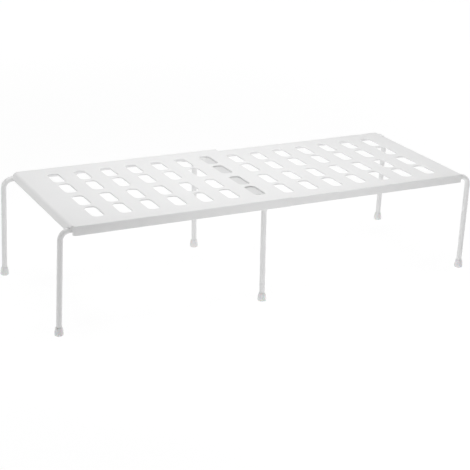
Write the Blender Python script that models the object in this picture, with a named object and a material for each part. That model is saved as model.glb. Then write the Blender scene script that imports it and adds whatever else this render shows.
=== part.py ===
"""Expandable cabinet shelf on six wire legs, in metres, X along the shelf, Y to the back, Z up.

Two slotted panels of folded steel sheet make the top. The outer half, on the left, has two legs and
slides along X over the inner half, which has four and stands by itself. The shelf is drawn pulled out,
and the origin is on the floor under its middle.
"""
import math

import bmesh
import bpy
from mathutils import Vector

# Sheet and coating
sheet_thickness = 0.0008
fit_gap = 0.0003

# The shelf as a whole
shelf_height = 0.146
shelf_depth = 0.236
plate_overlap = 0.0515
closing_travel = 0.165

# Folded edges
outer_skirt_height = 0.0128
inner_skirt_height = 0.0112
skirt_fold_radius = 0.0016
corner_radius = 0.0035
hem_width = 0.003
hem_gap = 0.0003

# Sloping lip at each half's closed end
lip_slope = math.radians(45)
lip_fold_radius = 0.006
lip_face_width = 0.0056
lip_side_gap = 0.002

# Slots, in columns along X and four rows across the depth
slot_columns = 7
slot_pitch = 0.0381
slot_length = 0.040
slot_width = 0.0184
slot_corner_radius = 0.0062
slot_lip_radius = 0.001
slot_lip_depth = 0.0017
middle_rows_gap = 0.013
outer_rows_gap = 0.0062

# From a panel's end to the middle of its nearest column of slots
outer_closed_end_margin = 0.0492
outer_open_end_margin = 0.0343
inner_open_end_margin = 0.061
inner_closed_end_margin = 0.0452

# How the halves nest
slide_clearance = 0.0004
side_clearance = 0.0013
rail_stop_clearance = 0.0012
rail_strip_width = 0.007
notch_depth = 0.0228
notch_width = 0.0239
notch_corner_radius = 0.006

# Legs
wire_diameter = 0.0074
wire_bend_radius = 0.012
wire_side_gap = 0.0006
wire_seat_gap = 0.0004
outer_front_leg_reach = 0.0086
outer_back_leg_reach = 0.0118
inner_leg_reach = 0.007
middle_leg_inset = 0.0143

# How much further out a foot stands than the top of its leg
outer_leg_splay = 0.0027
inner_leg_splay = -0.0021

# Clips that hold the wires under the panels
clip_length = 0.014
clip_thickness = 0.0008
clip_flange_width = 0.009
clip_bend_radius = 0.0012
clip_end_inset = 0.010
clip_stop_clearance = 0.002
clip_wrap_angle = math.radians(112)

# Foot caps
cap_diameter = 0.0118
cap_waist_diameter = 0.011
cap_height = 0.0113
cap_floor = 0.0025
cap_sole_diameter = 0.008
cap_rim_radius = 0.0005

# How finely curves are drawn, and how near two points count as one
fold_steps = 3
hem_steps = 4
corner_steps = 4
slot_corner_steps = 3
notch_steps = 4
bend_steps = 7
cap_steps = 14
clip_steps = 5
wire_bevel_resolution = 3
smooth_angle = math.radians(40)
weld_distance = 0.00003
quarter_turn = math.pi / 2

# Sizes worked out from those above
half_depth = shelf_depth / 2
hem_radius = sheet_thickness + hem_gap / 2
panel_drop = slot_lip_depth + slide_clearance
inner_half_depth = half_depth - 2 * hem_radius - side_clearance
wire_radius = wire_diameter / 2
cap_radius = cap_diameter / 2
wire_y = inner_half_depth - sheet_thickness - wire_side_gap - wire_radius
inner_wire_drop = sheet_thickness + wire_seat_gap + wire_radius
outer_wire_drop = panel_drop + inner_wire_drop
outer_skirt_face = outer_skirt_height - skirt_fold_radius - hem_radius
inner_skirt_face = inner_skirt_height - skirt_fold_radius
lip_half_width = wire_y - wire_radius - lip_side_gap
lip_bend_reach = lip_fold_radius * math.sin(lip_slope)
lip_face_reach = lip_face_width * math.cos(lip_slope)
lip_hem_reach = hem_radius * (1 - math.sin(lip_slope))
lip_reach = lip_bend_reach + lip_face_reach + lip_hem_reach
columns_length = (slot_columns - 1) * slot_pitch
outer_length = outer_closed_end_margin + columns_length + outer_open_end_margin
inner_length = inner_open_end_margin + columns_length + inner_closed_end_margin

# Heights
outer_top_z = shelf_height
inner_top_z = shelf_height - panel_drop
run_z = outer_top_z - outer_wire_drop
bend_start_z = run_z - wire_bend_radius
wire_foot_z = cap_floor + fit_gap
cap_grip_z = (cap_floor + cap_height) / 2
cap_splay_share = 1 - cap_grip_z / bend_start_z
wire_foot_splay_share = 1 - wire_foot_z / bend_start_z

# Places along X, from the back left foot cap to the outer side of the end legs
left_reach = outer_back_leg_reach + outer_leg_splay * cap_splay_share + cap_radius
right_reach = inner_leg_reach + max(wire_radius, inner_leg_splay * cap_splay_share + cap_radius)
whole_length = left_reach + outer_length - plate_overlap + inner_length + right_reach
outer_left_x = left_reach - whole_length / 2
outer_right_x = outer_left_x + outer_length
inner_left_x = outer_right_x - plate_overlap
inner_right_x = inner_left_x + inner_length
middle_leg_x = inner_left_x + middle_leg_inset
end_leg_x = inner_right_x + inner_leg_reach
rail_left_x = outer_left_x + lip_reach + rail_stop_clearance + closing_travel
outer_wire_end_x = middle_leg_x - wire_radius - closing_travel - slide_clearance
outer_leg_x = {
    "front": outer_left_x - outer_front_leg_reach,
    "back": outer_left_x - outer_back_leg_reach,
}


def clear_scene():
    for old in list(bpy.data.objects):
        bpy.data.objects.remove(old)


def add_half(name, place):
    """An empty that carries one half of the shelf."""
    half = bpy.data.objects.new(name, None)
    half.location = place
    bpy.context.scene.collection.objects.link(half)
    return half


def add_piece(name, data, half, place, material, turn=0):
    """A named piece at a place in the world, carried by its half."""
    piece = bpy.data.objects.new(name, data)
    bpy.context.scene.collection.objects.link(piece)
    piece.parent = half
    piece.location = Vector(place) - half.location
    piece.rotation_euler.z = turn
    if not data.materials:
        data.materials.append(material)
    return piece


def surface_material(name, colour, roughness):
    material = bpy.data.materials.new(name)
    material.use_nodes = True
    shader = material.node_tree.nodes["Principled BSDF"]
    shader.inputs["Base Color"].default_value = colour
    shader.inputs["Roughness"].default_value = roughness
    shader.inputs["Metallic"].default_value = 0
    material.diffuse_color = colour
    return material


def powder_coated_steel():
    return surface_material("powder_coated_steel", (0.80, 0.80, 0.79, 1), 0.38)


def coated_leg_wire():
    return surface_material("coated_leg_wire", (0.78, 0.78, 0.77, 1), 0.34)


def moulded_white_plastic():
    return surface_material("moulded_white_plastic", (0.82, 0.82, 0.81, 1), 0.45)


def shade_round(mesh):
    mesh.shade_smooth()
    mesh.set_sharp_from_angle(angle=smooth_angle)


def mesh_from(bm, name):
    """Ends a bmesh as a mesh whose faces all point the same way, the highest of them up."""
    bmesh.ops.recalc_face_normals(bm, faces=bm.faces)
    highest = max(bm.faces, key=lambda face: face.calc_center_median().z)
    if highest.normal.z < 0:
        bmesh.ops.reverse_faces(bm, faces=bm.faces)
    mesh = bpy.data.meshes.new(name)
    bm.to_mesh(mesh)
    bm.free()
    shade_round(mesh)
    return mesh


def arc(centre, radius, start, end, steps):
    """Points along an arc in a plane, both ends included."""
    angles = [start + (end - start) * i / steps for i in range(steps + 1)]
    return [(centre[0] + radius * math.cos(a), centre[1] + radius * math.sin(a)) for a in angles]


def loft(bm, rings, closed=False):
    """Joins rings of as many vertices each with four-sided faces."""
    count = len(rings[0])
    spans = count if closed else count - 1
    for near, far in zip(rings, rings[1:]):
        for i in range(spans):
            j = (i + 1) % count
            bm.faces.new((near[i], near[j], far[j], far[i]))


def fold_profile(fold_radius, turn, face_width, hemmed):
    """(outward, downward) points of a folded edge's outer face, from the flat top to the sheet's rim."""
    bend_end = turn - quarter_turn
    bend = arc((0, fold_radius), fold_radius, -quarter_turn, bend_end, fold_steps)
    along = Vector((math.cos(turn), math.sin(turn)))
    face_end = Vector(bend[-1]) + along * face_width
    if not hemmed:
        return bend + [face_end]
    middle = face_end + hem_radius * Vector((-along.y, along.x))
    hem = arc(middle, hem_radius, bend_end, bend_end + math.pi, hem_steps)
    return bend + hem + [Vector(hem[-1]) - along * hem_width]


def fold_along(bm, path, profile):
    """Sweeps a fold's profile along a path of (point, outward direction) pairs at the panel's top."""
    rings = []
    for outward_step, down in profile:
        ring = [bm.verts.new((p[0] + n[0] * outward_step, p[1] + n[1] * outward_step, -down)) for p, n in path]
        rings.append(ring)
    loft(bm, rings)
    return rings[0]


def slot_outline(grow):
    """Rounded rectangle of one slot about its own middle, grown all round by some margin."""
    half_width = slot_width / 2 - slot_corner_radius
    half_length = slot_length / 2 - slot_corner_radius
    corners = ((1, 1), (-1, 1), (-1, -1), (1, -1))
    points = []
    for i, (x_side, y_side) in enumerate(corners):
        middle = (x_side * half_width, y_side * half_length)
        start = i * quarter_turn
        points += arc(middle, slot_corner_radius + grow, start, start + quarter_turn, slot_corner_steps)
    return points


def add_slot(bm, x, y):
    """A slot whose edge is drawn down into a short lip. Returns the vertices round its top edge."""
    lip = ((slot_lip_radius, 0), (0, slot_lip_radius), (0, slot_lip_depth))
    rings = []
    for grow, down in lip:
        rings.append([bm.verts.new((x + px, y + py, -down)) for px, py in slot_outline(grow)])
    loft(bm, rings, closed=True)
    return rings[0]


def slot_rows():
    inner_row = (middle_rows_gap + slot_length) / 2
    outer_row = inner_row + slot_length + outer_rows_gap
    return (-outer_row, -inner_row, inner_row, outer_row)


def add_slots(bm, first_x):
    columns = [first_x + i * slot_pitch for i in range(slot_columns)]
    return [add_slot(bm, x, y) for x in columns for y in slot_rows()]


def edges_round(bm, ring):
    pairs = zip(ring, ring[1:] + ring[:1])
    return [bm.edges.get(pair) or bm.edges.new(pair) for pair in pairs]


def fill_plate(bm, outline, slots):
    """Fills the flat plate between its outline and the slots."""
    edges = edges_round(bm, outline)
    for ring in slots:
        edges += edges_round(bm, ring)
    bmesh.ops.triangle_fill(bm, use_beauty=True, use_dissolve=False, edges=edges)


def add_sheet(name, bm, half, place, material):
    """Gives a panel's outer surface its sheet thickness, on the side away from the eye."""
    piece = add_piece(name, mesh_from(bm, name), half, place, material)
    sheet = piece.modifiers.new("sheet thickness", "SOLIDIFY")
    sheet.thickness = sheet_thickness
    sheet.offset = -1
    sheet.use_even_offset = True
    sheet.use_quality_normals = True
    return piece


def closed_end_lip(bm, x, direction, bend_half_width):
    """The lip that slopes down between the wires at a closed end, whose bend may run on over them.

    Returns its vertices along the plate.
    """
    profile = fold_profile(lip_fold_radius, lip_slope, lip_face_width, hemmed=True)
    rings = []
    for step, (outward, down) in enumerate(profile):
        places = [-lip_half_width, lip_half_width]
        if bend_half_width > lip_half_width and step <= fold_steps:
            places = [-bend_half_width, *places, bend_half_width]
        rings.append([bm.verts.new((x + direction * outward, y, -down)) for y in places])
    for near, far in zip(rings, rings[1:]):
        cut_away = (len(near) - len(far)) // 2
        loft(bm, [near[cut_away:len(near) - cut_away], far])
    return rings[0]


def outer_skirt(bm, side, profile):
    """An outer skirt, from the open end round a drawn corner that meets the line of the lip's fold."""
    base_radius = corner_radius - skirt_fold_radius
    corner_line = half_depth - corner_radius
    path = [((outer_length, side * (corner_line + base_radius)), (0, side))]
    for ny, nx in arc((0, 0), 1, 0, quarter_turn, corner_steps):
        point = (lip_reach + base_radius * (1 - nx), side * (corner_line + base_radius * ny))
        path.append((point, (-nx, side * ny)))
    return fold_along(bm, path, profile)


def outer_panel(half, material):
    """Outer panel: hemmed skirts with drawn corners and a lip at the closed end, cut square at the other."""
    bm = bmesh.new()
    profile = fold_profile(skirt_fold_radius, quarter_turn, outer_skirt_face, hemmed=True)
    front = outer_skirt(bm, -1, profile)
    back = outer_skirt(bm, 1, profile)
    lip = closed_end_lip(bm, lip_reach, -1, half_depth - corner_radius - fit_gap)
    fill_plate(bm, [*front, *lip, *reversed(back)], add_slots(bm, outer_closed_end_margin))
    return add_sheet("outer_shelf_panel", bm, half, (outer_left_x, 0, outer_top_z), material)


def notch_corner(side):
    """Rounded inner corner of the cut that ends the plate beside each side rail."""
    rail_edge = inner_half_depth - rail_strip_width
    plate_edge = rail_edge - notch_width
    x = notch_depth - notch_corner_radius
    far = arc((x, rail_edge - notch_corner_radius), notch_corner_radius, quarter_turn, 0, notch_steps)
    near = arc((x, plate_edge + notch_corner_radius), notch_corner_radius, 0, -quarter_turn, notch_steps)
    points = far + near + [(0, plate_edge)]
    return [(px, side * py, 0) for px, py in points]


def inner_panel(half, material):
    """Inner panel: plain skirts run on past the plate as side rails that guide the outer half."""
    bm = bmesh.new()
    fold_y = inner_half_depth - skirt_fold_radius
    rail_edge = inner_half_depth - rail_strip_width
    rail_x = rail_left_x - inner_left_x
    lip_x = inner_length - lip_reach
    profile = fold_profile(skirt_fold_radius, quarter_turn, inner_skirt_face, hemmed=False)
    skirts = {}
    cuts = {}
    for side in (-1, 1):
        path = [((x, side * fold_y), (0, side)) for x in (rail_x, lip_x)]
        skirts[side] = fold_along(bm, path, profile)
        rail_tip = (rail_x, side * rail_edge, 0)
        cuts[side] = [bm.verts.new(point) for point in [rail_tip] + notch_corner(side)]
    lip = closed_end_lip(bm, lip_x, 1, lip_half_width)
    front = [*reversed(skirts[-1]), *cuts[-1]]
    back = [*reversed(cuts[1]), *skirts[1]]
    fill_plate(bm, front + back + [*reversed(lip)], add_slots(bm, inner_open_end_margin))
    return add_sheet("inner_shelf_panel", bm, half, (inner_left_x, 0, inner_top_z), material)


def wire_curve(name, points):
    """Round wire along points that start and end at a wire's own ends."""
    curve = bpy.data.curves.new(name, "CURVE")
    curve.dimensions = "3D"
    curve.bevel_depth = wire_radius
    curve.bevel_resolution = wire_bevel_resolution
    curve.use_fill_caps = True
    spline = curve.splines.new("POLY")
    spline.points.add(len(points) - 1)
    for target, (x, z) in zip(spline.points, points):
        target.co = (x, 0, z, 1)
    spline.use_smooth = True
    return curve


def leg_bend(direction, splay):
    """Bend from a leg up into its run, for a leg on the left (1) or the right (-1) of that run."""
    lean = math.atan2(splay, bend_start_z)
    middle = (direction * wire_bend_radius, -wire_bend_radius)
    start = math.pi - lean if direction > 0 else lean
    return arc(middle, wire_bend_radius, start, quarter_turn, bend_steps)


def outer_legs(half, material):
    """Front and back wires of the outer half: one leg and a run that ends clear of the middle leg."""
    foot = (-outer_leg_splay * wire_foot_splay_share, wire_foot_z - run_z)
    for side, where in ((-1, "front"), (1, "back")):
        leg_x = outer_leg_x[where]
        points = [foot] + leg_bend(1, outer_leg_splay) + [(outer_wire_end_x - leg_x, 0)]
        curve = wire_curve(f"outer_{where}_leg_wire", points)
        add_piece(f"outer_{where}_leg_wire", curve, half, (leg_x, side * wire_y, run_z), material)


def inner_legs(half, material):
    """Front and back wires of the inner half, each with a middle leg, a run and an end leg."""
    span = end_leg_x - middle_leg_x
    foot_splay = inner_leg_splay * wire_foot_splay_share
    foot_drop = wire_foot_z - run_z
    bend = [(span + x, z) for x, z in reversed(leg_bend(-1, inner_leg_splay))]
    left = [(-foot_splay, foot_drop)] + leg_bend(1, inner_leg_splay)
    right = bend + [(span + foot_splay, foot_drop)]
    curve = wire_curve("inner_leg_wire", left + right)
    for side, where in ((-1, "front"), (1, "back")):
        place = (middle_leg_x, side * wire_y, run_z)
        add_piece(f"inner_{where}_leg_wire", curve, half, place, material)


def cap_profile():
    """(radius, height) points of a cap, from the middle of its sole over the rim and down its bore."""
    waist_radius = cap_waist_diameter / 2
    sole_radius = cap_sole_diameter / 2
    bore_radius = wire_radius + fit_gap
    edge = cap_radius - sole_radius
    lower = arc((sole_radius, edge), edge, -quarter_turn, 0, fold_steps)
    rim_z = cap_height - cap_rim_radius
    rim = [(waist_radius, rim_z), (waist_radius - cap_rim_radius, cap_height), (bore_radius, cap_height)]
    return [(0, 0)] + lower + rim + [(bore_radius, cap_floor), (0, cap_floor)]


def turned(name, profile):
    """Turns a profile that starts and ends on the axis into a closed solid."""
    bm = bmesh.new()
    verts = [bm.verts.new((radius, 0, height)) for radius, height in profile]
    edges = [bm.edges.new(pair) for pair in zip(verts, verts[1:])]
    bmesh.ops.spin(bm, geom=verts + edges, cent=(0, 0, 0), axis=(0, 0, 1), angle=2 * math.pi,
                   steps=cap_steps, use_merge=True, use_duplicate=False)
    bmesh.ops.remove_doubles(bm, verts=bm.verts, dist=weld_distance)
    bmesh.ops.recalc_face_normals(bm, faces=bm.faces)
    mesh = bpy.data.meshes.new(name)
    bm.to_mesh(mesh)
    bm.free()
    shade_round(mesh)
    return mesh


def foot_caps(halves, material):
    """Six equal caps, one pushed on each leg's lower end."""
    mesh = turned("foot_cap", cap_profile())
    outer_splay = outer_leg_splay * cap_splay_share
    inner_splay = inner_leg_splay * cap_splay_share
    for side, where in ((-1, "front"), (1, "back")):
        legs = (
            ("outer", "outer", outer_leg_x[where] - outer_splay),
            ("middle", "inner", middle_leg_x - inner_splay),
            ("end", "inner", end_leg_x + inner_splay),
        )
        for leg, half, x in legs:
            add_piece(f"foot_cap_{leg}_{where}", mesh, halves[half], (x, side * wire_y, 0), material)


def clip_section(wire_drop):
    """(inboard, up) outline of a clip about its wire's axis: flange, web and the hook under the wire."""
    inner_radius = wire_radius + fit_gap
    outer_radius = inner_radius + clip_thickness
    top = wire_drop - sheet_thickness - fit_gap
    flange_end = inner_radius + clip_flange_width
    bend_middle = (inner_radius + clip_bend_radius, top - clip_bend_radius)
    bend_inside = clip_bend_radius - clip_thickness
    upper_bend = arc(bend_middle, clip_bend_radius, quarter_turn, math.pi, fold_steps)
    hook = arc((0, 0), inner_radius, 0, -clip_wrap_angle, clip_steps)
    hook_back = arc((0, 0), outer_radius, -clip_wrap_angle, 0, clip_steps)
    lower_bend = arc(bend_middle, bend_inside, math.pi, quarter_turn, fold_steps)
    flange_under = [(flange_end, top - clip_thickness)]
    return [(flange_end, top)] + upper_bend + hook + hook_back + lower_bend + flange_under


def clip_mesh(wire_drop):
    """A clip for a wire whose axis lies that far under the top of its panel."""
    bm = bmesh.new()
    start = -clip_length / 2
    verts = [bm.verts.new((start, inboard, up)) for inboard, up in clip_section(wire_drop)]
    face = bm.faces.new(verts)
    grown = bmesh.ops.extrude_face_region(bm, geom=[face])
    moved = [item for item in grown["geom"] if isinstance(item, bmesh.types.BMVert)]
    bmesh.ops.translate(bm, verts=moved, vec=(clip_length, 0, 0))
    bmesh.ops.recalc_face_normals(bm, faces=bm.faces)
    mesh = bpy.data.meshes.new("leg_clip")
    bm.to_mesh(mesh)
    bm.free()
    shade_round(mesh)
    return mesh


def leg_clips(halves, material):
    """Clips along each run: two hold an outer wire, three an inner one."""
    half_clip = clip_length / 2
    first_outer = outer_left_x + lip_reach + clip_end_inset + half_clip
    last_outer = inner_left_x - closing_travel - clip_stop_clearance - half_clip
    first_inner = middle_leg_x + wire_bend_radius + clip_end_inset + half_clip
    last_inner = inner_right_x - lip_reach - clip_end_inset - half_clip
    runs = (
        ("outer", outer_wire_drop, (first_outer, last_outer)),
        ("inner", inner_wire_drop, (first_inner, (first_inner + last_inner) / 2, last_inner)),
    )
    for half, wire_drop, places in runs:
        mesh = clip_mesh(wire_drop)
        for number, x in enumerate(places, start=1):
            for side, where in ((-1, "front"), (1, "back")):
                turn = 0 if side < 0 else math.pi
                place = (x, side * wire_y, run_z)
                add_piece(f"{half}_{where}_leg_clip_{number}", mesh, halves[half], place, material, turn)


def build_shelf():
    clear_scene()
    steel = powder_coated_steel()
    wire = coated_leg_wire()
    plastic = moulded_white_plastic()
    halves = {
        "outer": add_half("outer_half", (outer_left_x, 0, outer_top_z)),
        "inner": add_half("inner_half", (inner_left_x, 0, inner_top_z)),
    }
    outer_panel(halves["outer"], steel)
    inner_panel(halves["inner"], steel)
    outer_legs(halves["outer"], wire)
    inner_legs(halves["inner"], wire)
    foot_caps(halves, plastic)
    leg_clips(halves, steel)


build_shelf()
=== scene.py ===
"""Looks of an expandable cabinet shelf: two slotted white steel panels on six wire legs."""

import math

import bmesh
import bpy
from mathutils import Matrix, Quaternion, Vector


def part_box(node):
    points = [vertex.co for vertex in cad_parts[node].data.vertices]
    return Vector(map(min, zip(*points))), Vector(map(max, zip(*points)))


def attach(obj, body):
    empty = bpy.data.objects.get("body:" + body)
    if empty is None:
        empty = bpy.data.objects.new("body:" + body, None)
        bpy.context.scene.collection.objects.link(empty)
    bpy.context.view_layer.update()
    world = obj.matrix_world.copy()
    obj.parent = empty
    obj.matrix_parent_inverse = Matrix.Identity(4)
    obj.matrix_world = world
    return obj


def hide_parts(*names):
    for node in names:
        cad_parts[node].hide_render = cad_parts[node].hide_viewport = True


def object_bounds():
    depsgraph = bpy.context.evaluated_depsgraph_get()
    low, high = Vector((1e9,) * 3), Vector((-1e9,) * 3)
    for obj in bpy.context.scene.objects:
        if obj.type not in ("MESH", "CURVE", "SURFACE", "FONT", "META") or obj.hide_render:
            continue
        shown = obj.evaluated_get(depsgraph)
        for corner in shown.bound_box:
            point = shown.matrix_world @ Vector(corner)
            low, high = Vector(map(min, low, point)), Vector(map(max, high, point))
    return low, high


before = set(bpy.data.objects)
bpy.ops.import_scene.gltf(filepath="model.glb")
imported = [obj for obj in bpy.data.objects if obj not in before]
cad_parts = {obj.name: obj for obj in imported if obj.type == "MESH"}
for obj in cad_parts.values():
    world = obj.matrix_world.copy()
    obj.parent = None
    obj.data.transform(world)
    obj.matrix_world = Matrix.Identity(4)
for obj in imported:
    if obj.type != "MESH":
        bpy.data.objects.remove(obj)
solids_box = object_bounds()


# Camera. The photograph was taken from the front left and a little above, with a long lens,
# and the camera was held not quite level.
camera_place = Vector((-0.7871, -1.5326, 0.6987))
camera_azimuth = math.radians(27.07)
camera_elevation = math.radians(20.51)
camera_roll = math.radians(1.81)
lens_mm = 99.55
film_width_mm = 36

sideways = math.sin(camera_azimuth) * math.cos(camera_elevation)
away = math.cos(camera_azimuth) * math.cos(camera_elevation)
line_of_sight = Vector((sideways, away, -math.sin(camera_elevation)))
camera_lens = bpy.data.cameras.new("camera")
camera_lens.lens = lens_mm
camera_lens.sensor_width = film_width_mm
camera = bpy.data.objects.new("camera", camera_lens)
bpy.context.scene.collection.objects.link(camera)
camera.location = camera_place
camera.rotation_mode = "QUATERNION"
level_view = line_of_sight.to_track_quat("-Z", "Y")
camera.rotation_quaternion = level_view @ Quaternion((0, 0, 1), camera_roll)
bpy.context.scene.camera = camera


# Outer shelf panel. One sheet of thin steel, pierced with rows of slots whose edges are drawn
# down, with a closed hem along its front and back skirts and along the lip that slopes down at
# its end. It is powder coated white all over and slides on the inner panel.
sheet_thickness = 0.0008
slot_columns = 7
slot_pitch = 0.0381
slot_length = 0.038
slot_width = 0.0157
slot_corner_radius = 0.0058
slot_lip_radius = 0.0015
slot_lip_depth = 0.0017
middle_rows_gap = 0.015
outer_rows_gap = 0.0082
flat_rim = 0.0005
skirt_fold_radius = 0.0016
corner_radius = 0.0035
hem_gap = 0.0003
hem_width = 0.003
lip_slope = math.radians(45)
lip_fold_radius = 0.006
lip_face_width = 0.0056
lip_side_gap = 0.0006
lip_wall_foot_share = 0.25
slit_width = 0.0003
outer_closed_end_margin = 0.0508
fold_steps = 6
hem_steps = 8
corner_steps = 6
slot_corner_steps = 7
lip_steps = 6
lip_face_steps = 6
quarter_turn = math.pi / 2
hem_radius = sheet_thickness + hem_gap / 2
lip_bend_reach = lip_fold_radius * math.sin(lip_slope)
lip_hem_reach = hem_radius * (1 - math.sin(lip_slope))
lip_reach = lip_bend_reach + lip_face_width * math.cos(lip_slope) + lip_hem_reach
smooth_angle = math.radians(40)
coat_white = "EDEDED"
coat_white_thin = "E8E8E8"
coat_mottle_mm = 70
coat_mottle_detail = 2
orange_peel_mm = 2.6
orange_peel_detail = 1.5
orange_peel_strength = 0.12
orange_peel_height = 0.00012
coat_grain_mm = 0.9
coat_grain_detail = 2
coat_roughness = (0.34, 0.46)
coat_ior = 1.5


def linear(hex_colour):
    """Linear RGBA of an sRGB hex colour, by that standard's own curve."""
    shares = [int(hex_colour[i:i + 2], 16) / 255 for i in (0, 2, 4)]
    return [s / 12.92 if s <= 0.04045 else ((s + 0.055) / 1.055) ** 2.4 for s in shares] + [1]


def add_node(material, kind, values=None, links=None, **settings):
    """Adds a node with its settings, the values of its sockets and the links into them."""
    node = material.node_tree.nodes.new(kind)
    for name, value in settings.items():
        setattr(node, name, value)
    for socket, value in (values or {}).items():
        node.inputs[socket].default_value = value
    for socket, source in (links or {}).items():
        material.node_tree.links.new(source, node.inputs[socket])
    return node


def new_material(name):
    """A material whose node tree is still empty."""
    material = bpy.data.materials.new(name)
    material.use_nodes = True
    material.node_tree.nodes.clear()
    return material


def per_mm(size_mm):
    """Scale of a texture whose features are that many millimetres wide."""
    return 1000 / size_mm


# Polyester powder coat, baked: a satin white with a faint orange peel and a gloss that varies
# finely. The peel is drawn coarser than the real one, which is about 1 mm and would not show.
# Where the powder lies thinner the white is a little greyer, in soft patches.
powder_coat = new_material("powder_coat_on_steel_sheet")
place = add_node(powder_coat, "ShaderNodeTexCoord")
mottle = add_node(powder_coat, "ShaderNodeTexNoise",
                  {"Scale": per_mm(coat_mottle_mm), "Detail": coat_mottle_detail},
                  {"Vector": place.outputs["Object"]})
tint = add_node(powder_coat, "ShaderNodeMix",
                {"A": linear(coat_white_thin), "B": linear(coat_white)},
                {"Factor": mottle.outputs["Fac"]}, data_type="RGBA")
peel = add_node(powder_coat, "ShaderNodeTexNoise",
                {"Scale": per_mm(orange_peel_mm), "Detail": orange_peel_detail},
                {"Vector": place.outputs["Object"]})
relief = add_node(powder_coat, "ShaderNodeBump",
                  {"Strength": orange_peel_strength, "Distance": orange_peel_height},
                  {"Height": peel.outputs["Fac"]})
grain = add_node(powder_coat, "ShaderNodeTexNoise",
                 {"Scale": per_mm(coat_grain_mm), "Detail": coat_grain_detail},
                 {"Vector": place.outputs["Object"]})
satin = add_node(powder_coat, "ShaderNodeMapRange",
                 {"To Min": coat_roughness[0], "To Max": coat_roughness[1]},
                 {"Value": grain.outputs["Fac"]})
finish = add_node(powder_coat, "ShaderNodeBsdfPrincipled", {"IOR": coat_ior},
                  {"Base Color": tint.outputs["Result"], "Roughness": satin.outputs["Result"],
                   "Normal": relief.outputs["Normal"]})
add_node(powder_coat, "ShaderNodeOutputMaterial", links={"Surface": finish.outputs["BSDF"]})


def arc(centre, radius, start, end, steps):
    """Points along an arc in a plane, both ends included."""
    angles = [start + (end - start) * i / steps for i in range(steps + 1)]
    return [(centre[0] + radius * math.cos(a), centre[1] + radius * math.sin(a)) for a in angles]


def loft(bm, rings, closed=False):
    """Joins rings of as many vertices each with four-sided faces."""
    count = len(rings[0])
    spans = count if closed else count - 1
    for near, far in zip(rings, rings[1:]):
        for i in range(spans):
            j = (i + 1) % count
            bm.faces.new((near[i], near[j], far[j], far[i]))


def fold_profile(fold_radius, turn, face_width, hemmed):
    """(outward, downward) points of a folded edge's outer face, from the flat top to the rim."""
    bend_end = turn - quarter_turn
    curve = arc((0, fold_radius), fold_radius, -quarter_turn, bend_end, fold_steps)
    bend = [(-flat_rim, 0)] + curve
    along = Vector((math.cos(turn), math.sin(turn)))
    face_end = Vector(bend[-1]) + along * face_width
    if not hemmed:
        return bend + [face_end]
    middle = face_end + hem_radius * Vector((-along.y, along.x))
    hem = arc(middle, hem_radius, bend_end, bend_end + math.pi, hem_steps)
    return bend + hem + [Vector(hem[-1]) - along * hem_width]


def fold_along(bm, path, profile):
    """Sweeps a fold's profile along a path of (point, outward direction) pairs at the plate's rim.

    Returns its rings of vertices, the one along the plate first.
    """
    rings = []
    for outward, down in profile:
        places = [(p[0] + n[0] * outward, p[1] + n[1] * outward, -down) for p, n in path]
        rings.append([bm.verts.new(place) for place in places])
    loft(bm, rings)
    return rings


def slot_outline(grow):
    """Rounded rectangle of one slot about its own middle, grown all round by some margin."""
    half_width = slot_width / 2 - slot_corner_radius
    half_length = slot_length / 2 - slot_corner_radius
    radius = slot_corner_radius + grow
    points = []
    for i, (x_side, y_side) in enumerate(((1, 1), (-1, 1), (-1, -1), (1, -1))):
        middle = (x_side * half_width, y_side * half_length)
        start = i * quarter_turn
        points += arc(middle, radius, start, start + quarter_turn, slot_corner_steps)
    return points


def add_slot(bm, x, y):
    """A slot whose edge is drawn down into a rounded lip. Returns the vertices of its top edge."""
    middle = (slot_lip_radius, slot_lip_radius)
    bend = arc(middle, slot_lip_radius, -quarter_turn, -math.pi, lip_steps)
    lip = [(slot_lip_radius + flat_rim, 0)] + bend + [(0, slot_lip_depth)]
    rings = []
    for grow, down in lip:
        rings.append([bm.verts.new((x + px, y + py, -down)) for px, py in slot_outline(grow)])
    loft(bm, rings, closed=True)
    return rings[0]


def add_slots(bm, first_x):
    """Columns of four slots each, the two middle rows a little further apart than the others."""
    inner_row = (middle_rows_gap + slot_length) / 2
    outer_row = inner_row + slot_length + outer_rows_gap
    columns = [first_x + i * slot_pitch for i in range(slot_columns)]
    rows = (-outer_row, -inner_row, inner_row, outer_row)
    return [add_slot(bm, x, y) for x in columns for y in rows]


def fill_plate(bm, outline, slots):
    """Fills the flat plate between its outline and the slots."""
    edges = []
    for ring in [outline] + slots:
        for pair in zip(ring, ring[1:] + ring[:1]):
            edges.append(bm.edges.get(pair) or bm.edges.new(pair))
    bmesh.ops.triangle_fill(bm, use_beauty=True, use_dissolve=False, edges=edges)


def shade_round(mesh):
    """Shades gentle bends smooth and keeps cut edges crisp."""
    mesh.shade_smooth()
    mesh.set_sharp_from_angle(angle=smooth_angle)


def shaped_mesh(piece):
    """The mesh that a curve, or a mesh with modifiers, comes to."""
    bpy.context.view_layer.update()
    shaped = piece.evaluated_get(bpy.context.evaluated_depsgraph_get())
    mesh = bpy.data.meshes.new_from_object(shaped)
    shade_round(mesh)
    return mesh


def settle(piece):
    """Replaces a piece's modifiers with the mesh that they give."""
    mesh = shaped_mesh(piece)
    piece.modifiers.clear()
    piece.data = mesh


def add_piece(name, data, place, material):
    """An object in the scene, with the material unless its mesh or curve has one already."""
    piece = bpy.data.objects.new(name, data)
    bpy.context.scene.collection.objects.link(piece)
    piece.location = place
    if not data.materials:
        data.materials.append(material)
    return piece


def finished_mesh(name, bm):
    """The mesh of what was built in bm, which is freed."""
    mesh = bpy.data.meshes.new(name)
    bm.to_mesh(mesh)
    bm.free()
    return mesh


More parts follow.
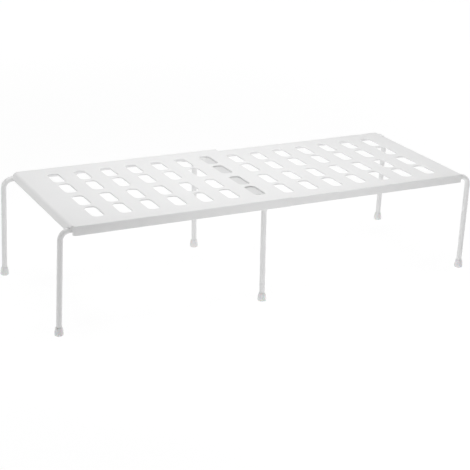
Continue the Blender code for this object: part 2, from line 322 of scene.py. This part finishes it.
def folded_sheet(name, bm, place):
    """A panel made of its outer face, which gets the sheet's thickness on the hidden side."""
    bmesh.ops.recalc_face_normals(bm, faces=bm.faces)
    highest = max(bm.faces, key=lambda face: face.calc_center_median().z)
    if highest.normal.z < 0:
        bmesh.ops.reverse_faces(bm, faces=bm.faces)
    panel = add_piece(name, finished_mesh(name, bm), place, powder_coat)
    sheet = panel.modifiers.new("sheet thickness", "SOLIDIFY")
    sheet.thickness = sheet_thickness
    sheet.offset = -1
    sheet.use_even_offset = True
    sheet.use_quality_normals = True
    settle(panel)
    return panel


def half_width_beside_wires(height):
    """Half the width of a closed end's lip at some height. Its ends are cut round the wires."""
    rise = max(height - wire_middle.z, 0)
    cut_radius = wire_size / 2 + lip_side_gap
    return wire_middle.y - math.sqrt(max(cut_radius ** 2 - rise ** 2, 0))


def closed_end_lip(bm, x, direction, top, bend_half_width, wall_depth=None):
    """The lip that slopes down between the wires at a closed end.

    Its bend, and the first strip of its face, run on over the wires. With a wall depth they are
    turned down there, beside the wires. Returns the lip's vertices along the plate.
    """
    profile = fold_profile(lip_fold_radius, lip_slope, lip_face_width, hemmed=True)
    profile = [Vector(point) for point in profile]
    bend_points = fold_steps + 2
    bend_end, hem_start = profile[bend_points - 1:bend_points + 1]
    face = [bend_end.lerp(hem_start, step / lip_face_steps) for step in range(1, lip_face_steps)]
    profile[bend_points:bend_points] = face
    rings = []
    for step, (outward, down) in enumerate(profile):
        half_width = half_width_beside_wires(top - down)
        places = [(-half_width, down), (half_width, down)]
        if step <= bend_points:
            places = [(-bend_half_width, down), *places, (bend_half_width, down)]
            if wall_depth:
                places = [(-bend_half_width, wall_depth), *places, (bend_half_width, wall_depth)]
        reach = x + direction * outward
        rings.append([bm.verts.new((reach, y, -depth)) for y, depth in places])
    for near, far in zip(rings, rings[1:]):
        cut_away = (len(near) - len(far)) // 2
        loft(bm, [near[cut_away:len(near) - cut_away], far])
    return rings[0][1:-1] if wall_depth else rings[0]


outer_low, outer_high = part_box("outer_shelf_panel")
wire_low, wire_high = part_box("outer_back_leg_wire")
outer_length = outer_high.x - outer_low.x
outer_half_depth = outer_high.y
outer_skirt_face = outer_high.z - outer_low.z - skirt_fold_radius - hem_radius
wire_size = wire_high.y - wire_low.y
wire_middle = Vector((0, wire_low.y + wire_size / 2, wire_high.z - wire_size / 2))

bm = bmesh.new()
fold_line = outer_half_depth - skirt_fold_radius
corner_line = outer_half_depth - corner_radius
base_radius = corner_radius - skirt_fold_radius
skirt = fold_profile(skirt_fold_radius, quarter_turn, outer_skirt_face, hemmed=True)
skirts = {}
for side in (-1, 1):
    path = [((outer_length, side * fold_line), (0, side))]
    for ny, nx in arc((0, 0), 1, 0, quarter_turn, corner_steps):
        point = (lip_reach + base_radius * (1 - nx), side * (corner_line + base_radius * ny))
        path.append((point, (-nx, side * ny)))
    skirts[side] = fold_along(bm, path, skirt)[0]
wall_depth = outer_high.z - wire_middle.z - wire_size * lip_wall_foot_share
lip = closed_end_lip(bm, lip_reach, -1, outer_high.z, corner_line - slit_width, wall_depth)
outline = [*skirts[-1], *lip, *reversed(skirts[1])]
fill_plate(bm, outline, add_slots(bm, outer_closed_end_margin))
outer_panel = folded_sheet("outer_shelf_sheet", bm, (outer_low.x, 0, outer_high.z))
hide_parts("outer_shelf_panel")
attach(outer_panel, "outer_half")


# Inner shelf panel. The same pierced and coated sheet, a little narrower and lower. Its skirts
# have no hem and run on past the plate as two shallower rails under the outer panel, and its plate
# ends there in a cut with rounded corners.
inner_open_end_margin = 0.0626
inner_closed_end_margin = 0.0436
rail_strip_width = 0.007
rail_skirt_cut = 0.003
rail_taper = 0.012
notch_depth = 0.0228
notch_width = 0.0239
notch_corner_radius = 0.006
notch_steps = 6
# Grey of the painted shade on the inner plate where the outer panel covers it, and the softness of
# its edge.
coat_grey_painted_shade = "D9D9D9"
painted_shade_edge_softness = 0.002
upward_share = 0.7

inner_low, inner_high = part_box("inner_shelf_panel")
inner_half_depth = inner_high.y
inner_skirt_face = inner_high.z - inner_low.z - skirt_fold_radius
rail_edge = inner_half_depth - rail_strip_width
plate_edge = rail_edge - notch_width
columns_length = (slot_columns - 1) * slot_pitch
plate_x = inner_high.x - inner_closed_end_margin - columns_length - inner_open_end_margin

# The same coat with painted shade. On the plate's upper face, where the outer panel lies over it
# at rest and slides, the white is painted greyer to stand for the shadow of the outer panel.
coat_with_painted_shade = powder_coat.copy()
coat_with_painted_shade.name = "powder_coat_with_painted_shade"
nodes = coat_with_painted_shade.node_tree.nodes
place_there, tint_there, finish_there = (nodes[node.name] for node in (place, tint, finish))
along = add_node(coat_with_painted_shade, "ShaderNodeSeparateXYZ", links={0: place_there.outputs["Object"]})
half_covered = (outer_high.x - plate_x) / 2
from_middle = add_node(coat_with_painted_shade, "ShaderNodeMath", {1: half_covered}, {0: along.outputs["X"]},
                       operation="SUBTRACT")
off_middle = add_node(coat_with_painted_shade, "ShaderNodeMath", links={0: from_middle.outputs[0]},
                      operation="ABSOLUTE")
fade_start = half_covered - painted_shade_edge_softness
unshaded_beside = add_node(coat_with_painted_shade, "ShaderNodeMapRange",
                        {"From Min": fade_start, "From Max": half_covered},
                        {"Value": off_middle.outputs[0]})
facing = add_node(coat_with_painted_shade, "ShaderNodeSeparateXYZ", links={0: place_there.outputs["Normal"]})
unshaded_below = add_node(coat_with_painted_shade, "ShaderNodeMath", {1: upward_share}, {0: facing.outputs["Z"]},
                       operation="LESS_THAN")
unshaded = add_node(coat_with_painted_shade, "ShaderNodeMath",
                 links={0: unshaded_beside.outputs[0], 1: unshaded_below.outputs[0]},
                 operation="MAXIMUM")
# Painted shade: greyer on upward faces where the outer panel covers the plate.
painted_shade_tint = add_node(coat_with_painted_shade, "ShaderNodeMix", {"A": linear(coat_grey_painted_shade)},
                     {"Factor": unshaded.outputs[0], "B": tint_there.outputs["Result"]},
                     data_type="RGBA")
coat_with_painted_shade.node_tree.links.new(painted_shade_tint.outputs["Result"], finish_there.inputs["Base Color"])


def notch_corner(side):
    """Rounded inner corner of the cut that ends the plate beside each side rail."""
    radius = notch_corner_radius
    x = notch_depth - radius
    far = arc((x, rail_edge - radius), radius, quarter_turn, 0, notch_steps)
    near = arc((x, plate_edge + radius), radius, 0, -quarter_turn, notch_steps)
    return [(px, side * py, 0) for px, py in far + near + [(0, plate_edge)]]


bm = bmesh.new()
fold_line = inner_half_depth - skirt_fold_radius
rail_x = inner_low.x - plate_x
lip_x = inner_high.x - plate_x - lip_reach
skirt = fold_profile(skirt_fold_radius, quarter_turn, inner_skirt_face, hemmed=False)
rail_points = (rail_x, -rail_taper)
skirts = {}
cuts = {}
for side in (-1, 1):
    path = [((x, side * fold_line), (0, side)) for x in (*rail_points, 0, lip_x)]
    rings = fold_along(bm, path, skirt)
    skirts[side] = rings[0]
    for vert in rings[-1][:len(rail_points)]:
        vert.co.z += rail_skirt_cut
    rail_tip = (rail_x, side * rail_edge, 0)
    cuts[side] = [bm.verts.new(point) for point in [rail_tip] + notch_corner(side)]
lip = closed_end_lip(bm, lip_x, 1, inner_high.z, fold_line - slit_width)
front = [*reversed(skirts[-1]), *cuts[-1]]
back = [*reversed(cuts[1]), *skirts[1]]
fill_plate(bm, front + back + [*reversed(lip)], add_slots(bm, inner_open_end_margin))
inner_panel = folded_sheet("inner_shelf_sheet", bm, (plate_x, 0, inner_high.z))
inner_panel.data.materials[0] = coat_with_painted_shade
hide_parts("inner_shelf_panel")
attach(inner_panel, "inner_half")


# Leg wires. Drawn steel wire bent cold and powder coated with the panels: the outer half has two
# with one leg each, the inner half two with a leg at both ends. They lie along the skirts, under
# the panels.
wire_diameter = 0.0074
wire_bend_radius = 0.012
wire_seat_gap = 0.0004
wire_foot_z = 0.0028
outer_leg_reach = {"front": 0.0076, "back": 0.0118}
inner_leg_reach = 0.007
middle_leg_inset = 0.0143
outer_leg_splay = {"front": 0.0037, "back": 0.0027}
inner_leg_splay = -0.0021
wire_bend_steps = 16
wire_bevel_resolution = 10
wire_white = "EEEEEE"
wire_white_thin = "E8E8E8"
wire_mottle_mm = 30
wire_mottle_detail = 2
wire_peel_mm = 2.2
wire_peel_detail = 1.5
wire_peel_strength = 0.15
wire_peel_height = 0.0001
wire_roughness = (0.3, 0.4)

# The same powder on wire: it runs a little off the round, so its peel is finer and its gloss
# higher, and its thin, greyer patches are smaller.
wire_coat = new_material("powder_coat_on_drawn_wire")
place = add_node(wire_coat, "ShaderNodeTexCoord")
mottle = add_node(wire_coat, "ShaderNodeTexNoise",
                  {"Scale": per_mm(wire_mottle_mm), "Detail": wire_mottle_detail},
                  {"Vector": place.outputs["Object"]})
tint = add_node(wire_coat, "ShaderNodeMix",
                {"A": linear(wire_white_thin), "B": linear(wire_white)},
                {"Factor": mottle.outputs["Fac"]}, data_type="RGBA")
peel = add_node(wire_coat, "ShaderNodeTexNoise",
                {"Scale": per_mm(wire_peel_mm), "Detail": wire_peel_detail},
                {"Vector": place.outputs["Object"]})
relief = add_node(wire_coat, "ShaderNodeBump",
                  {"Strength": wire_peel_strength, "Distance": wire_peel_height},
                  {"Height": peel.outputs["Fac"]})
satin = add_node(wire_coat, "ShaderNodeMapRange",
                 {"To Min": wire_roughness[0], "To Max": wire_roughness[1]},
                 {"Value": peel.outputs["Fac"]})
finish = add_node(wire_coat, "ShaderNodeBsdfPrincipled", {"IOR": coat_ior},
                  {"Base Color": tint.outputs["Result"], "Roughness": satin.outputs["Result"],
                   "Normal": relief.outputs["Normal"]})
add_node(wire_coat, "ShaderNodeOutputMaterial", links={"Surface": finish.outputs["BSDF"]})


def bent_wire(name, points, place):
    """A round wire along (x, z) points, closed at both ends."""
    curve = bpy.data.curves.new(name, "CURVE")
    curve.dimensions = "3D"
    curve.bevel_depth = wire_radius
    curve.bevel_resolution = wire_bevel_resolution
    curve.use_fill_caps = True
    spline = curve.splines.new("POLY")
    spline.points.add(len(points) - 1)
    for target, (x, z) in zip(spline.points, points):
        target.co = (x, 0, z, 1)
    centre_line = add_piece(name + "_centre_line", curve, place, wire_coat)
    mesh = shaped_mesh(centre_line)
    bpy.data.objects.remove(centre_line)
    return add_piece(name, mesh, place, wire_coat)


def leg_bend(direction, splay):
    """Bend from a leg up into its run, for a leg on the left (1) or the right (-1) of that run."""
    lean = math.atan2(splay, bend_start_z)
    middle = (direction * wire_bend_radius, -wire_bend_radius)
    start = math.pi - lean if direction > 0 else lean
    return arc(middle, wire_bend_radius, start, quarter_turn, wire_bend_steps)


wire_radius = wire_diameter / 2
run_z = inner_high.z - sheet_thickness - wire_seat_gap - wire_radius
bend_start_z = run_z - wire_bend_radius
foot_splay_share = 1 - wire_foot_z / bend_start_z
foot_drop = wire_foot_z - run_z
middle_leg_x = plate_x + middle_leg_inset
span = inner_high.x + inner_leg_reach - middle_leg_x
inner_foot_splay = inner_leg_splay * foot_splay_share
right_bend = [(span + x, z) for x, z in reversed(leg_bend(-1, inner_leg_splay))]
right_leg = right_bend + [(span + inner_foot_splay, foot_drop)]
left_leg = [(-inner_foot_splay, foot_drop)] + leg_bend(1, inner_leg_splay)
for where in ("front", "back"):
    low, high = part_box(f"outer_{where}_leg_wire")
    wire_y = (low.y + high.y) / 2
    leg_x = outer_low.x - outer_leg_reach[where]
    foot = (-outer_leg_splay[where] * foot_splay_share, foot_drop)
    points = [foot] + leg_bend(1, outer_leg_splay[where]) + [(high.x - leg_x, 0)]
    wire = bent_wire(f"outer_{where}_wire", points, (leg_x, wire_y, run_z))
    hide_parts(f"outer_{where}_leg_wire")
    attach(wire, "outer_half")

    wire = bent_wire(f"inner_{where}_wire", left_leg + right_leg, (middle_leg_x, wire_y, run_z))
    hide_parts(f"inner_{where}_leg_wire")
    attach(wire, "inner_half")


# Leg clips. Short strips of the panels' sheet bent to a J: the flat end is spot-welded under a
# panel and the hook holds a wire from below. They are coated together with the panel and the wire.
clip_length = 0.014
clip_thickness = 0.0008
clip_flange_width = 0.009
clip_bend_radius = 0.0012
clip_gap = 0.0003
clip_wrap_angle = math.radians(112)
clip_bend_steps = 6
clip_hook_steps = 14
clip_edge_radius = 0.0002
clip_edge_segments = 2
clip_edge_angle = math.radians(50)


def clip_section(top):
    """(inboard, up) outline of a clip about its wire's axis: flange, web and hook."""
    inner_radius = wire_radius + clip_gap
    outer_radius = inner_radius + clip_thickness
    flange_end = inner_radius + clip_flange_width
    bend_middle = (inner_radius + clip_bend_radius, top - clip_bend_radius)
    bend_inside = clip_bend_radius - clip_thickness
    upper_bend = arc(bend_middle, clip_bend_radius, quarter_turn, math.pi, clip_bend_steps)
    hook = arc((0, 0), inner_radius, 0, -clip_wrap_angle, clip_hook_steps)
    hook_back = arc((0, 0), outer_radius, -clip_wrap_angle, 0, clip_hook_steps)
    lower_bend = arc(bend_middle, bend_inside, math.pi, quarter_turn, clip_bend_steps)
    upper_side = [(flange_end, top)] + upper_bend + hook
    return upper_side + hook_back + lower_bend + [(flange_end, top - clip_thickness)]


def bent_clip(name, place, top, turn):
    """A clip's section drawn out along its wire, with the coat's rounding on its cut edges."""
    bm = bmesh.new()
    verts = [bm.verts.new((-clip_length / 2, inboard, up)) for inboard, up in clip_section(top)]
    face = bm.faces.new(verts)
    grown = bmesh.ops.extrude_face_region(bm, geom=[face])
    moved = [item for item in grown["geom"] if isinstance(item, bmesh.types.BMVert)]
    bmesh.ops.translate(bm, verts=moved, vec=(clip_length, 0, 0))
    bmesh.ops.recalc_face_normals(bm, faces=bm.faces)
    clip = add_piece(name, finished_mesh(name, bm), place, powder_coat)
    clip.rotation_euler.z = turn
    edge = clip.modifiers.new("coated edge", "BEVEL")
    edge.width = clip_edge_radius
    edge.segments = clip_edge_segments
    edge.limit_method = "ANGLE"
    edge.angle_limit = clip_edge_angle
    settle(clip)
    return clip


for half, count in (("outer", 2), ("inner", 3)):
    for where, turn in (("front", 0), ("back", math.pi)):
        for number in range(1, count + 1):
            node = f"{half}_{where}_leg_clip_{number}"
            low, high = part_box(node)
            wire_low, wire_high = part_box(f"{half}_{where}_leg_wire")
            place = ((low.x + high.x) / 2, (wire_low.y + wire_high.y) / 2, run_z)
            clip = bent_clip(f"{half}_{where}_clip_{number}", place, high.z - run_z, turn)
            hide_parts(node)
            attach(clip, f"{half}_half")


# Foot caps. Soft white polyethylene, moulded as a cup that is pushed onto each leg's cut end. The
# cup swells from the rim, which grips the wire, to a belly above its rounded sole.
cap_rim_share = 0.77
cap_rim_rounding = 0.0003
cap_sole_share = 0.68
cap_floor = 0.0025
cap_grip_gap = 0.0001
cap_turn_steps = 48
cap_curve_steps = 8
cap_weld_distance = 0.00002
cap_white = "F3F3F3"
cap_white_worn = "E2E2E2"
cap_grain_mm = 1.1
cap_grain_detail = 3
cap_grain_strength = 0.2
cap_grain_height = 0.0001
cap_roughness = (0.48, 0.6)
cap_ior = 1.51
cap_light_spread = 0.15
cap_spread_depth = 0.001

# Polyethylene from a spark-eroded mould: dull and slightly waxy, with some light spread under the
# skin. The mould's grain, which also holds a little dirt, is drawn coarser than the real one,
# which is some tenths of a millimetre and would not show.
cap_plastic = new_material("moulded_polyethylene")
place = add_node(cap_plastic, "ShaderNodeTexCoord")
grain = add_node(cap_plastic, "ShaderNodeTexNoise",
                 {"Scale": per_mm(cap_grain_mm), "Detail": cap_grain_detail},
                 {"Vector": place.outputs["Object"]})
tint = add_node(cap_plastic, "ShaderNodeMix",
                {"A": linear(cap_white_worn), "B": linear(cap_white)},
                {"Factor": grain.outputs["Fac"]}, data_type="RGBA")
relief = add_node(cap_plastic, "ShaderNodeBump",
                  {"Strength": cap_grain_strength, "Distance": cap_grain_height},
                  {"Height": grain.outputs["Fac"]})
dull = add_node(cap_plastic, "ShaderNodeMapRange",
                {"To Min": cap_roughness[0], "To Max": cap_roughness[1]},
                {"Value": grain.outputs["Fac"]})
finish = add_node(cap_plastic, "ShaderNodeBsdfPrincipled",
                  {"IOR": cap_ior, "Subsurface Weight": cap_light_spread,
                   "Subsurface Scale": cap_spread_depth},
                  {"Base Color": tint.outputs["Result"], "Roughness": dull.outputs["Result"],
                   "Normal": relief.outputs["Normal"]})
add_node(cap_plastic, "ShaderNodeOutputMaterial", links={"Surface": finish.outputs["BSDF"]})


def cap_profile(cap_radius, height):
    """(radius, height) points from the middle of the sole over the rim and down the bore."""
    sole_radius = cap_radius * cap_sole_share
    rim_radius = cap_radius * cap_rim_share
    edge = cap_radius - sole_radius
    sole = [(0, 0)] + arc((sole_radius, edge), edge, -quarter_turn, 0, cap_curve_steps)
    rim_start = height - cap_rim_rounding
    belly = []
    for share in [step / cap_curve_steps for step in range(1, cap_curve_steps)]:
        radius = cap_radius - (cap_radius - rim_radius) * share ** 2
        belly.append((radius, edge + (rim_start - edge) * share))
    rim_middle = (rim_radius - cap_rim_rounding, rim_start)
    rim = arc(rim_middle, cap_rim_rounding, 0, quarter_turn, cap_curve_steps)
    bore_radius = wire_radius + cap_grip_gap
    return sole + belly + rim + [(bore_radius, height), (bore_radius, cap_floor), (0, cap_floor)]


def turned(name, profile):
    """Turns a profile that starts and ends on the axis into a closed solid."""
    bm = bmesh.new()
    verts = [bm.verts.new((radius, 0, up)) for radius, up in profile]
    edges = [bm.edges.new(pair) for pair in zip(verts, verts[1:])]
    bmesh.ops.spin(bm, geom=verts + edges, cent=(0, 0, 0), axis=(0, 0, 1), angle=2 * math.pi,
                   steps=cap_turn_steps, use_merge=True, use_duplicate=False)
    bmesh.ops.remove_doubles(bm, verts=bm.verts, dist=cap_weld_distance)
    bmesh.ops.recalc_face_normals(bm, faces=bm.faces)
    mesh = finished_mesh(name, bm)
    shade_round(mesh)
    return mesh


low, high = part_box("foot_cap_outer_front")
cap_mesh = turned("foot_cap", cap_profile((high.x - low.x) / 2, high.z))
for leg, half in (("outer", "outer_half"), ("middle", "inner_half"), ("end", "inner_half")):
    for where in ("front", "back"):
        low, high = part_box(f"foot_cap_{leg}_{where}")
        place = ((low.x + high.x) / 2, (low.y + high.y) / 2, 0)
        cap = add_piece(f"{leg}_{where}_foot_cap", cap_mesh, place, cap_plastic)
        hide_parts(f"foot_cap_{leg}_{where}")
        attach(cap, half)


# Studio floor. The top of a light table: white opal plastic that glows evenly and lights the shelf
# from below. It can be looked through from under it.
floor_half_width = 6
floor_white = "B4B4B4"
floor_glow = 0.7
floor_white_seen = "606060"
floor_glow_seen_near = 0.93
floor_glow_seen_far = 1
near_distance = 0.5
far_distance = 1.6


def seen_share(material):
    """Socket that is 1 for rays from the camera, from gloss or through glass, and 0 for others."""
    rays = add_node(material, "ShaderNodeLightPath")
    camera_or_gloss = add_node(material, "ShaderNodeMath",
                               links={0: rays.outputs["Is Camera Ray"],
                                      1: rays.outputs["Is Glossy Ray"]},
                               operation="MAXIMUM")
    any_of_them = add_node(material, "ShaderNodeMath",
                           links={0: camera_or_gloss.outputs[0],
                                  1: rays.outputs["Is Transmission Ray"]},
                           operation="MAXIMUM")
    return any_of_them.outputs[0]


# Seen directly or as a reflection, the table shows as plain white. Round the shelf its own glow
# falls a little short of white and the lamps make up the rest, so that a faint shadow stays.
opal = new_material("opal_light_table")
seen = seen_share(opal)
surface = add_node(opal, "ShaderNodeBsdfDiffuse", {"Color": linear(floor_white)})
glow = add_node(opal, "ShaderNodeEmission", {"Strength": floor_glow})
lighting = add_node(opal, "ShaderNodeAddShader", links={0: surface.outputs[0], 1: glow.outputs[0]})
surface_seen = add_node(opal, "ShaderNodeBsdfDiffuse", {"Color": linear(floor_white_seen)})
place = add_node(opal, "ShaderNodeTexCoord")
distance = add_node(opal, "ShaderNodeVectorMath", links={0: place.outputs["Object"]},
                    operation="LENGTH")
brightness = add_node(opal, "ShaderNodeMapRange",
                      {"From Min": near_distance, "From Max": far_distance,
                       "To Min": floor_glow_seen_near, "To Max": floor_glow_seen_far},
                      {"Value": distance.outputs["Value"]})
glow_seen = add_node(opal, "ShaderNodeEmission", links={"Strength": brightness.outputs["Result"]})
looks = add_node(opal, "ShaderNodeAddShader",
                 links={0: surface_seen.outputs[0], 1: glow_seen.outputs[0]})
upper_side = add_node(opal, "ShaderNodeMixShader",
                      links={0: seen, 1: lighting.outputs[0], 2: looks.outputs[0]})
lower_side = add_node(opal, "ShaderNodeBsdfTransparent")
facing = add_node(opal, "ShaderNodeNewGeometry")
both_sides = add_node(opal, "ShaderNodeMixShader",
                      links={0: facing.outputs["Backfacing"], 1: upper_side.outputs[0],
                             2: lower_side.outputs[0]})
add_node(opal, "ShaderNodeOutputMaterial", links={"Surface": both_sides.outputs[0]})

bm = bmesh.new()
bmesh.ops.create_grid(bm, x_segments=1, y_segments=1, size=floor_half_width)
floor = add_piece("floor", finished_mesh("floor", bm), (0, 0, 0), opal)


# Studio light. A soft box close over the shelf, one at each side, the right one a little stronger,
# and a small dim one near its front.
overhead_watts = 4.7
overhead_place = Vector((-0.02, 0.03, 0.75))
overhead_size = (0.9, 0.6)
left_watts = 5
right_watts = 7.5
side_distance = 1.5
side_height = 0.5
side_size = (1.2, 0.9)
front_watts = 0.62
front_place = Vector((0.08, -0.6, 0.15))
front_size = (0.3, 0.2)


def soft_box(name, watts, place, size, target):
    """A rectangular lamp turned to its target, which the camera doesn't see."""
    lamp = bpy.data.lights.new(name, "AREA")
    lamp.energy = watts
    lamp.shape = "RECTANGLE"
    lamp.size, lamp.size_y = size
    light = bpy.data.objects.new(name, lamp)
    bpy.context.scene.collection.objects.link(light)
    light.location = place
    light.rotation_mode = "QUATERNION"
    light.rotation_quaternion = (target - place).to_track_quat("-Z", "Y")
    light.visible_camera = False


shelf_middle = (solids_box[0] + solids_box[1]) / 2
below_overhead = Vector((overhead_place.x, overhead_place.y, 0))
soft_box("overhead_soft_box", overhead_watts, overhead_place, overhead_size, below_overhead)
soft_box("front_soft_box", front_watts, front_place, front_size, shelf_middle)
for name, direction, watts in (("left", -1, left_watts), ("right", 1, right_watts)):
    side_place = Vector((direction * side_distance, 0, side_height))
    soft_box(f"{name}_soft_box", watts, side_place, side_size, shelf_middle)


# Studio room. White walls, which show as plain white and are mirrored as white, and which light
# the shelf only dimly.
room_white = "FFFFFF"
room_light = 0.02
room_light_seen = 1

room = bpy.data.worlds.new("pale_room")
room.use_nodes = True
room.node_tree.nodes.clear()
bpy.context.scene.world = room
seen = seen_share(room)
ambient = add_node(room, "ShaderNodeBackground",
                   {"Color": linear(room_white), "Strength": room_light})
backdrop = add_node(room, "ShaderNodeBackground",
                    {"Color": linear(room_white), "Strength": room_light_seen})
choice = add_node(room, "ShaderNodeMixShader",
                  links={0: seen, 1: ambient.outputs[0], 2: backdrop.outputs[0]})
add_node(room, "ShaderNodeOutputWorld", links={"Surface": choice.outputs[0]})

bpy.context.scene.view_settings.view_transform = "Standard"
